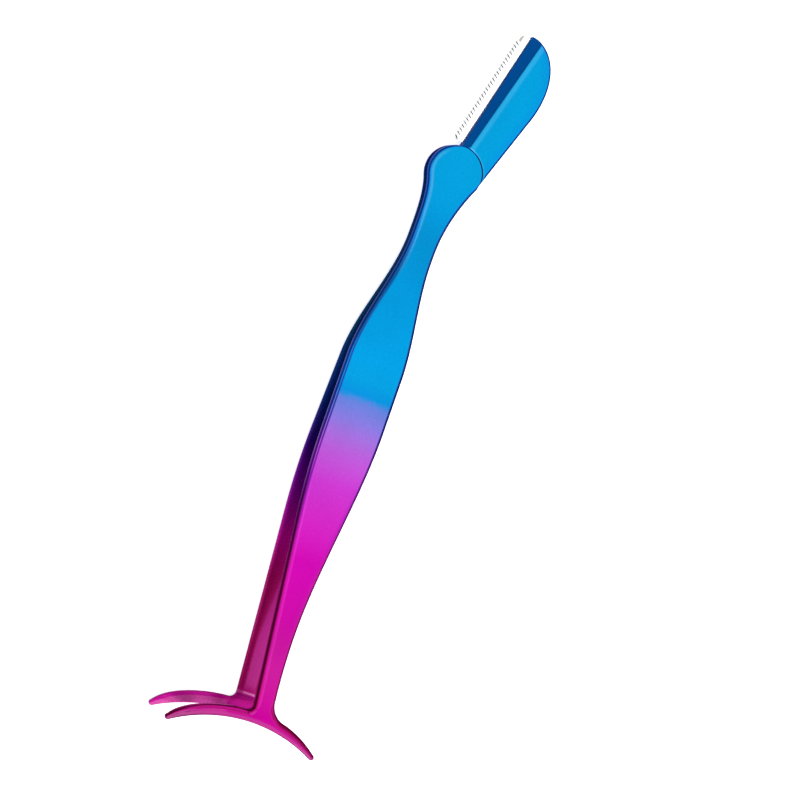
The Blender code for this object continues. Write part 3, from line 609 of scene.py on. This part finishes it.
def wallRims(zone, normal, side):  # painted shade and highlights (rim colours) of the large rounding, the side wall and its foot
    r, along = rimLook, zone.along
    onWing = zone.jaw * (1 - r["wingLess"] * after(zone.turn, r["wingFades"]))
    onBack = zone.behind * (1 - r["backLess"] * after(along, r["backFades"]))
    rounding = 1 + np.maximum(np.maximum(onBack, onWing), zone.low)
    rounding = rounding * (1 - zone.grip) - r["gripLight"] * zone.grip
    wall = np.maximum(rounding, 1 + (side > 0) * after(along, r["wallDeepens"]))
    if side > 0:  # a thin painted highlight runs along the front arm's foot
        return rounding, wall, 2 - after(along, r["footFront"]) * (1 - after(along, r["footEnds"]))
    # the rear arm's outline gets less painted shade low down, where it's seen against the floor
    wall = wall - (wall - 1) * after(along, r["rearLight"]) * ease(-2 * normal[:, 1])
    return rounding, wall, np.maximum(wall, 2 - after(along, r["footRear"]))


def marginWidth(zone, normal, reach):  # how wide the painted shade margin of the inner face is
    r, along = rimLook, zone.along
    onJaw = after(along, r["jawFace"])
    margin = r["marginWidth"] + r["marginSlope"] * np.clip(r["marginFrom"] - along, 0, None)
    margin = np.where(normal[:, 1] < 0, margin, r["marginBack"]) * (1 - onJaw)
    margin = margin + r["marginJaw"] * (normal[:, 0] < 0.3) * onJaw
    most, later = r["marginMost"]  # shares of the way to the middle line, which it keeps clear of
    return np.minimum(margin, (most + later * after(along, r["marginEases"])) * reach)


def fallAway(left):  # a gentle bend that ends in a slope
    return 0.6 * left + 0.4 * left * left


def makeArm(name, side, materials):
    # the sheet's section is carried round the outline: flat top from the middle line, sloped band,
    # large rounding, side wall, small rounding, lip where there is one, inner face
    a, r = arm, rimLook
    outline, spine, room, seam = armCurves(a["wingBack"] - (a["rearShort"] if side < 0 else 0))
    normal = smoothAround(inwardNormals(outline), 4)
    normal /= np.linalg.norm(normal, axis=1)[:, None]
    seam = smoothAround(seam, 50)
    zone = findZones(outline, normal, seam)
    along = zone.along
    grown = after(along, a["roundGrows"])
    big, deep = (smoothAround(np.minimum((n + (j - n) * grown) * (1 - seam) + k * seam, room * limit), 20)
                 for n, j, k, limit in zip(a["roundNeck"], a["roundJaw"], a["roundSeam"], a["roundRoom"]))
    band = np.minimum(a["band"], room * a["bandRoom"] - big) * (1 - seam)
    big = big * (1 + (a["roundBack"] - 1) * zone.behind)
    small = np.minimum(a["innerRound"], room * a["innerRoundRoom"])
    soft = np.minimum(a["innerBand"], room * a["innerBandRoom"])
    atLobe, more, less, onJaw, corner = r["slopes"]
    flatter = after(along, r["slopeFalls"]) * (1 - after(along, r["slopeBack"]))
    tilt = atLobe + more * after(along, r["slopeGrows"]) - less * flatter + onJaw * zone.jaw
    tilt = a["bandSlope"] * tilt * (1 - corner * zone.corner)
    paintedLight = bandPaintedLight(zone, normal, seam)
    roundingRim, wallRim, footRim = wallRims(zone, normal, side)
    reach = np.linalg.norm(spine - outline, axis=1)
    margin = marginWidth(zone, normal, reach)

    def inside(inset):  # the inner face falls away softly towards its edge
        return a["innerSlope"] * soft * fallAway(np.clip(1 - inset / soft, 0, 1))

    def marginRim(inset, flat):  # painted shade near the rim of an inner face and all over the jaw's root
        off = np.abs(jawPlace(flat)[1] - r["rootMiddle"]) - r["rootTurn"]
        root = ease((-flat[:, 0] - a["bendAt"]) / 0.5) * (1 - after(off, (-r["rootSoft"], 2 * r["rootSoft"])))
        dark = 1 - after(inset - margin, (-r["marginSoft"], 2 * r["marginSoft"]))
        return np.maximum(dark * (margin > 0.1), r["rootDeep"] * root)

    rows, rims = [], []

    def row(inset, height, share=0.0, lip=0.0, rim=0.0):
        # inset from the outline, then a share of the way to the middle line; at 1 the lip moves it fully
        flat = outline + normal * np.broadcast_to(inset, len(outline))[:, None]
        flat = flat + (spine - flat) * share
        if rim is None:
            rim = marginRim(inset + share * reach, flat)
        height = np.broadcast_to(height, len(outline)) - lip * lipAt(flat) + riseAt(flat[:, 0])
        rows.append(np.concatenate([flat, (side * height)[:, None]], 1))
        rims.append(np.broadcast_to(rim, len(outline)))

    for share in (1.0, 0.7, 0.4, 0.15, 0.0):  # flat top
        row(big + band * 1.03, a["sheet"], share)
    for share in (1.0, 0.75, 0.5, 0.25, 0.05):  # band
        height = a["sheet"] - tilt * band * fallAway(1 - share)
        row(big + band * share, height, rim=bandRim(zone, paintedLight, share))
    top = a["sheet"] - tilt * band
    sooner = r["soonerSide"] * np.maximum(zone.behind, zone.low) \
        + r["soonerLow"] * np.maximum(zone.right * zone.outer, np.maximum(zone.lowBlade, zone.corner))
    for turn in np.linspace(1.36, 0, 11):  # large rounding, from just past the band's slope to upright
        shown = ease((math.pi / 2 - turn - r["roundFrom"] + sooner) / r["roundSoft"])
        row(big * (1 - math.cos(turn)), top - deep * (1 - math.sin(turn)), rim=roundingRim * shown)
    bottom = small + inside(0)
    for share in (0.66, 0.33):  # side wall
        row(0, bottom + (top - deep - bottom) * share, lip=1 - share, rim=wallRim)
    for turn in np.linspace(0, math.pi / 2, 5):  # small rounding
        row(small * (1 - math.cos(turn)), small * (1 - math.sin(turn)) + inside(0), lip=1, rim=footRim)
    wide = np.maximum(margin, 0.8 * soft)
    for share in (0.08, 0.25, 0.45, 0.65, 0.8, 0.9, 1.0, 1.08):  # inner face: its margin, then the rest
        row(wide * share, inside(wide * share), lip=1, rim=None)
    for share in (0.3, 0.65, 1.0):
        row(wide * 1.08, inside(wide * 1.08), share, lip=1, rim=None)
    piece = gridMesh(name, [(np.stack(rows), True, np.stack(rims))])
    for each in materials:
        piece.data.materials.append(each)
    facing = np.empty(len(piece.data.polygons) * 3, dtype=np.float32)
    piece.data.polygons.foreach_get("normal", facing)  # faces that look inwards take the duller coat with its painted shade
    piece.data.polygons.foreach_set("material_index", (facing[2::3] * side < -0.3).astype(np.int32))
    return piece


head = {
    "turn": -13.4, "edge": 1.75, "reach": 32.3, "back": 7.3, "roundFrom": 17.1, "bulge": 1.25,
    "endReach": 0.6, "gap": 0.07, "half": 1.65, "shoulder": 0.7, "lobeRound": 0.34, "sharp": 40,
    # the round end is drawn by one smooth curve: the pull of its handles, and where the end's side begins
    "pull": 0.56, "endLength": 11.5,
    # the ground slope along the blade: width at both ends, steepness and how soft its upper line is
    "chamferNear": 1.2, "chamferFar": 2.2, "slope": 0.49, "crease": 0.40,
    "slotHalf": 0.16, "slotDeep": 1.1, "slotEdge": 0.05, "slotEnd": 3,
    # its painted shade and where that starts, in mm over its upper line; the painted highlight strip beside
    # it; then the rims: how wide the painted shade is, how far the painted highlight reaches from the lobe,
    # and the painted shade of the back edge
    "chamferShade": "004588", "slopeFrom": -0.22, "slopeSharp": 2.4,
    "strip": (-1.3, 0.1), "stripSharp": 2.0, "stripHighlight": 0.035, "stripTint": (0.35, 1.0, 1.0),
    "rimWide": 0.042, "lobeHighlightSpan": (0.3, 0.6), "lobeHighlight": -0.6,
    "backShade": 0.25, "backShadeWide": 2.6, "grazing": (0.12, 0.35, 0.65),
}


def fromHead(points):  # u along the blade and v to the blade side, to the tool frame
    a = math.radians(head["turn"])
    u, v = points[..., 0], points[..., 1]
    flat = [u * math.cos(a) - v * math.sin(a), arm["lobeY"] + u * math.sin(a) + v * math.cos(a)]
    rest = [points[..., 2]] if points.shape[-1] > 2 else []
    return np.stack(flat + rest, -1)


def holderSides(count):
    # the holder's shoulder at the lobe, then a function from a distance along its back edge and
    # round end to the place there, where the end's side begins, and the whole length
    h = head
    radius = arm["lobe"] + h["gap"]

    def back(u):
        return -arm["lobe"] - (h["back"] - arm["lobe"]) * u / h["roundFrom"]

    top = math.asin(h["edge"] / radius)
    bottom = math.radians(-80)
    for _ in range(30):
        bottom = math.asin(max(back(radius * math.cos(bottom)) / radius, -1.0))
    shoulder = polar((0, 0), radius, np.linspace(bottom, top, count))
    bulge = max((h["back"] - arm["lobe"]) * h["pull"], h["bulge"])
    p = np.array([[h["roundFrom"], -h["back"]], [h["roundFrom"] * (1 + h["pull"]), -h["back"] - bulge],
                  [h["reach"] + h["endReach"], -h["back"] * h["pull"]], [h["reach"], h["edge"]]])
    t = np.linspace(0, 1, 400)[:, None]
    curve = (1 - t) ** 3 * p[0] + 3 * (1 - t) ** 2 * t * p[1] + 3 * (1 - t) * t * t * p[2] + t ** 3 * p[3]
    line = shoulder[0] + (p[0] - shoulder[0]) * np.linspace(0, 1, 200)[:-1, None]
    whole = np.concatenate([line, curve])
    step = np.concatenate([[0], np.cumsum(np.linalg.norm(np.diff(whole, axis=0), axis=1))])

    def sample(distance):
        return np.stack([np.interp(distance, step, whole[:, 0]), np.interp(distance, step, whole[:, 1])], -1)

    return shoulder, sample, step[-1] - h["endLength"], step[-1]


def spread(count, near, rows):  # shares from 0 to 1, dense within `near` of both ends
    inner = np.linspace(near, 1 - near, count)
    rim = near * (1 - np.cos(np.linspace(0, math.pi / 2, rows)[:-1]))
    return np.concatenate([rim, inner, (1 - rim)[::-1]])


def awayFrom(points, line):  # distance of each point to the nearest place on a line of short pieces
    nearest = np.full(points.shape[:-1], np.inf)
    for start, step in zip(line[:-1], np.diff(line, axis=0)):
        off = points - start
        share = np.clip(off @ step / (step @ step), 0, 1)
        nearest = np.minimum(nearest, np.linalg.norm(off - share[..., None] * step, axis=-1))
    return nearest


def makeHolder(material):
    # a patch between the four sides, whose height falls at the rim and along the blade
    h = head
    s = spread(150, 0.022, 9)
    t = spread(80, 0.07, 9)
    shoulder, sample, cut, total = holderSides(len(t))
    radius = arm["lobe"] + h["gap"]
    low, high = shoulder[0], shoulder[-1]
    turnLow, turnHigh = math.atan2(low[1], low[0]), math.atan2(high[1], high[0])
    left = polar((0, 0), radius, turnLow + (turnHigh - turnLow) * t)
    right = sample(cut + (total - cut) * t)
    bottom = sample(cut * s)
    top = high + (np.array([h["reach"], h["edge"]]) - high) * s[:, None]
    u, v = s[:, None, None], t[None, :, None]
    patch = ((1 - v) * bottom[:, None] + v * top[:, None] + (1 - u) * left[None] + u * right[None]
             - (1 - u) * (1 - v) * bottom[0] - u * (1 - v) * bottom[-1]
             - (1 - u) * v * top[0] - u * v * top[-1])
    dLobe = np.linalg.norm(patch, axis=-1) - radius
    drop = np.zeros(dLobe.shape)
    away = awayFrom(patch, sample(np.linspace(0, total, 500)))
    for distance, r in ((away, h["shoulder"]), (dLobe, h["lobeRound"])):
        x = np.clip(1 - distance / r, 0, 1)
        drop = np.maximum(drop, r * (1 - np.sqrt(1 - x * x)))
    out = np.clip(patch[..., 0] / h["reach"], 0, 1)
    width = h["chamferNear"] + (h["chamferFar"] - h["chamferNear"]) * out
    over = patch[..., 1] - (h["edge"] - width)
    slope = h["slope"] * (0.5 * (over + np.sqrt(over * over + h["crease"] ** 2 / 4)) - h["crease"] / 4)
    height = h["half"] - np.maximum(drop, np.clip(slope, 0, None))
    faces = [np.concatenate([patch, (side * height)[..., None]], -1) for side in (1, -1)]
    # wall round the rim, with the blade's slot in the straight side
    rim = [np.concatenate([g[:-1, 0], g[-1, :-1], g[:0:-1, -1], g[0, :0:-1]]) for g in faces]
    n, m = len(s), len(t)
    straight = np.zeros(len(rim[0]))
    straight[n + m - 2 + h["slotEnd"]:n + m - 2 + n - h["slotEnd"]] = 1.0
    rows = [rim[0]]
    half, edge = h["slotHalf"], h["slotEdge"]
    for level, deep in ((half + edge, 0.0), (half, edge), (half, h["slotDeep"]),
                        (-half, h["slotDeep"]), (-half, edge), (-half - edge, 0.0)):
        row = rim[0].copy()
        row[:, 2] = level
        row[:, 1] -= deep * straight
        rows.append(row)
    rows.append(rim[1])
    # rim colours: deepest painted shade where the rounding begins, painted shade along the back edge, a
    # painted highlight at the lobe; the wall in painted shade
    faceRim = np.maximum(2 * ease(drop / h["rimWide"]),
                         h["backShade"] * np.clip(1 - away / h["backShadeWide"], 0, 1))
    faceRim = np.where(dLobe > h["lobeHighlightSpan"][1], faceRim, h["lobeHighlight"] * (dLobe < h["lobeHighlightSpan"][0]))
    wallRim = np.array([2.0, 1.3, 1.3, 1.3, 1.3, 1.3, 1.3, 2.0])[:, None]
    piece = gridMesh("holder", [(fromHead(faces[0]), False, faceRim), (fromHead(faces[1]), False, faceRim),
                                (fromHead(np.stack(rows)), True, wallRim)])
    return cover(piece, material, h["sharp"])


blade = {
    "half": 0.125, "start": 6.35, "end": 31.8, "low": 0.8, "shown": 1.95, "bevel": 0.6, "land": 0.03,
    "corner": 1.1, "sharp": 12,
}


def makeBlade(material):
    # section across the strip, ground to the edge from both faces, carried along it; the outer
    # corner is rounded by lowering the edge near the end
    b = blade
    high = head["edge"] + b["shown"]
    u = np.concatenate([np.linspace(b["start"], b["end"] - b["corner"], 60),
                        b["end"] - b["corner"] * (1 - np.sin(np.linspace(0, math.pi / 2, 24)[1:]))])
    fall = np.clip((u - (b["end"] - b["corner"])) / b["corner"], 0, 1)
    topAt = high - b["corner"] * (1 - np.sqrt(1 - fall ** 2))
    v = b["low"] + (topAt[:, None] - b["low"]) * np.linspace(0, 1, 20)
    z = b["half"] - (b["half"] - b["land"]) * np.clip((v - (high - b["bevel"])) / b["bevel"], 0, 1)
    up = np.stack([np.broadcast_to(u[:, None], v.shape), v, z], -1)
    down = up[:, ::-1] * np.array([1, 1, -1])
    loop = np.concatenate([up, down], 1)
    caps = []
    for end in (0, -1):
        face = np.stack([up[end], up[end] * np.array([1, 1, -1])])
        caps.append((fromHead(face), False))
    return cover(gridMesh("blade", [(fromHead(loop), True)] + caps), material, b["sharp"])


comb = {
    "teeth": 29, "slot": 0.26, "slant": 29.0, "wall": 0.2, "leg": 1.25, "rail": 0.36, "clear": 0.3,
    "start": 6.25, "end": 30.2, "endRoom": 0.25, "railPast": 0.6, "railProud": 1.02,
    "sharp": 30,
}


def barRing(path, along, wide, thick, out):
    # four corners of a flat bar at each point of its path
    return np.stack([path - along * wide - out * thick, path + along * wide - out * thick,
                     path + along * wide + out * thick, path - along * wide + out * thick], -2)


def makeComb(material):
    # a rail on each face of the blade, joined over the edge by slanted teeth; each tooth follows
    # a straight leg, half a circle and a straight leg
    c = comb
    top = head["edge"] + blade["shown"] + c["clear"] + c["wall"]
    half = blade["half"] + c["clear"] + c["wall"] / 2
    low = top - c["leg"]
    bendV = top - c["wall"] / 2 - half
    turn = np.linspace(0, math.pi, 15)
    legs = np.linspace(low + c["rail"] * 0.5, bendV, 6)[:-1]
    v = np.concatenate([legs, bendV + half * np.sin(turn), legs[::-1]])
    z = np.concatenate([0 * legs + half, half * np.cos(turn), 0 * legs - half])
    lean = math.tan(math.radians(c["slant"]))
    rise = top - low
    pitch = (c["end"] - c["start"] - rise * lean - 2 * c["endRoom"]) / (c["teeth"] - 1)
    first = c["start"] + c["endRoom"] + pitch * np.arange(c["teeth"])
    path = np.stack([first[:, None] + (v - low) * lean, np.broadcast_to(v, (c["teeth"], len(v))),
                     np.broadcast_to(z, (c["teeth"], len(v)))], -1)
    out = np.stack([0 * v, np.concatenate([0 * legs, np.sin(turn), 0 * legs]),
                    np.concatenate([0 * legs + 1, np.cos(turn), 0 * legs - 1])], -1)
    wide = (pitch - c["slot"]) / 2
    ring = barRing(path, np.array([1.0, 0, 0]), wide, c["wall"] / 2, out)
    bars = list(ring)
    for side in (1, -1):
        u = np.linspace(c["start"], c["end"] - rise * lean + c["railPast"], 3)
        line = np.stack([u, 0 * u + low + c["rail"] / 2, 0 * u + side * half], -1)
        thick = c["wall"] / 2 * c["railProud"]
        bars.append(barRing(line, np.array([0, 1.0, 0]), c["rail"] / 2, thick, np.array([0, 0, 1.0])))
    grids = []
    for bar in bars:  # each is closed by a face at both ends
        grids.append((fromHead(bar), True))
        for cap in (bar[0], bar[-1]):
            grids.append((fromHead(np.stack([cap[[0, 1]], cap[[3, 2]]])), False))
    return cover(gridMesh("comb", grids), material, c["sharp"])


coatPaint = coatMaterial("satin_coat", coat["stops"])
# the inner faces' coat: a darker copy with painted shade between the arms and painted reflections on the jaw
shadedInnerPaint = coatMaterial("inner_coat_shaded", coat["inner"], coat["innerMetallic"], coat["innerRoughness"])
# the head's coat, with painted shade on its ground slope
headPaint = coatMaterial("head_coat", coat["stops"], chamfer=head["chamferShade"])
bladeSteel = steelMaterial("blade_steel", steel["blade"], ground=True)
combSteel = steelMaterial("comb_steel", steel["comb"])
print("materials made")

for name, side, node, body in (("front_sheet", 1, "front_arm", "front"),
                               ("rear_sheet", -1, "rear_arm", "rear")):
    sheet = makeArm(name, side, (coatPaint, shadedInnerPaint))
    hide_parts(node)
    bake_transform(sheet)
print("arms made")

holder = makeHolder(headPaint)
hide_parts("razor_holder")
strip = makeBlade(bladeSteel)
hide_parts("razor_blade")
guard = makeComb(combSteel)
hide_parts("comb_guard")
for piece in (holder, strip, guard):
    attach(piece, "razor")
print("razor made")


view = {
    # places of the lens and of what it looks at in the tool frame, and what is up before the roll
    "eye": (-65.8, 151.6, 432.3), "target": (-46.0, -6.8, 0.0), "axis": (0.99888, -0.04721, 0.0),
    "roll": 22.8, "pixelsPerMm": 5.0, "pixels": 800, "sensor": 36.0,
}


def makeCamera():
    eye, target = (np.array(view[k]) for k in ("eye", "target"))
    rolled = math.radians(view["roll"])
    ahead = target - eye
    away = np.linalg.norm(ahead)
    ahead = ahead / away
    up = np.array(view["axis"]) - ahead * np.dot(view["axis"], ahead)
    up /= np.linalg.norm(up)
    right = np.cross(ahead, up)
    up = math.cos(rolled) * up - math.sin(rolled) * right
    right = np.cross(ahead, up)
    base = toTable(np.zeros(3))
    axes = [toTable(v) - base for v in (right, up, -ahead)]
    axes = [v / np.linalg.norm(v) for v in axes]
    eye = toTable(eye)
    data = bpy.data.cameras.new("camera")
    data.sensor_width = view["sensor"]
    data.lens = view["pixelsPerMm"] * away / view["pixels"] * view["sensor"]
    data.clip_start, data.clip_end = 0.01, 20.0
    camera = addObject("camera", data)
    camera.matrix_world = Matrix([*np.stack([*axes, eye], 1).tolist(), [0, 0, 0, 1]])
    bpy.context.scene.camera = camera


studio = {
    # each light: where it stands in metres, width and length, radiance, and the point it faces
    "lights": {
        "key": ((0.10, -0.42, 0.80), (2.0, 0.80), 1.9, (0.0, -0.02, 0.0)),
        "top": ((-0.37, 0.10, 0.85), (1.48, 0.38), 2.4, (0.0, 0.0, 0.0)),
        "side": ((0.0, -1.0, 0.35), (1.6, 0.60), 1.2, (0.0, 0.0, 0.0)),
        "dusk": ((0.05, 0.52, 0.80), (1.6, 0.45), 0.85, (0.0, 0.0, 0.0)),
        "end": ((-1.15, -0.25, 0.75), (0.5, 0.90), 3.2, (0.0, 0.0, 0.0)),
    },
    "sky": 0.32, "floor": 0.92, "glow": 0.62, "floorHalf": 4.0,
}


def makeStudio():
    for name, (spot, size, radiance, aim) in studio["lights"].items():
        data = bpy.data.lights.new(name, "AREA")
        data.shape, data.size, data.size_y = "RECTANGLE", size[0], size[1]
        data.energy = radiance * math.pi * size[0] * size[1]
        lamp = addObject(name, data)
        back = (Vector(spot) - Vector(aim)).normalized()
        along = (Vector((1, 0, 0)) - back * back.x).normalized()  # the width stays along the tool
        turn = Matrix((along, back.cross(along), back)).transposed()
        lamp.matrix_world = Matrix.Translation(spot) @ turn.to_4x4()
    world = bpy.data.worlds.new("room")
    world.use_nodes = True
    setValues(world.node_tree.nodes["Background"], {"Color": (1, 1, 1, 1), "Strength": studio["sky"]})
    bpy.context.scene.world = world
    mesh = bpy.data.meshes.new("floor")
    r = studio["floorHalf"]
    mesh.from_pydata([(-r, -r, 0), (r, -r, 0), (r, r, 0), (-r, r, 0)], [], [(0, 1, 2, 3)])
    floor = addObject("floor", mesh)
    material, shader, spot = newMaterial("pale_floor")
    (studio["floor"] + 0.02 * (spot.noise(3.0, 2.0) - 0.5)).grey().into(shader, "Base Color")
    setValues(shader, {"Roughness": 0.9, "Emission Color": (1, 1, 1, 1), "Emission Strength": studio["glow"]})
    mesh.materials.append(material)


makeCamera()
makeStudio()
bpy.context.scene.view_settings.view_transform = "Standard"
print("camera and studio made")
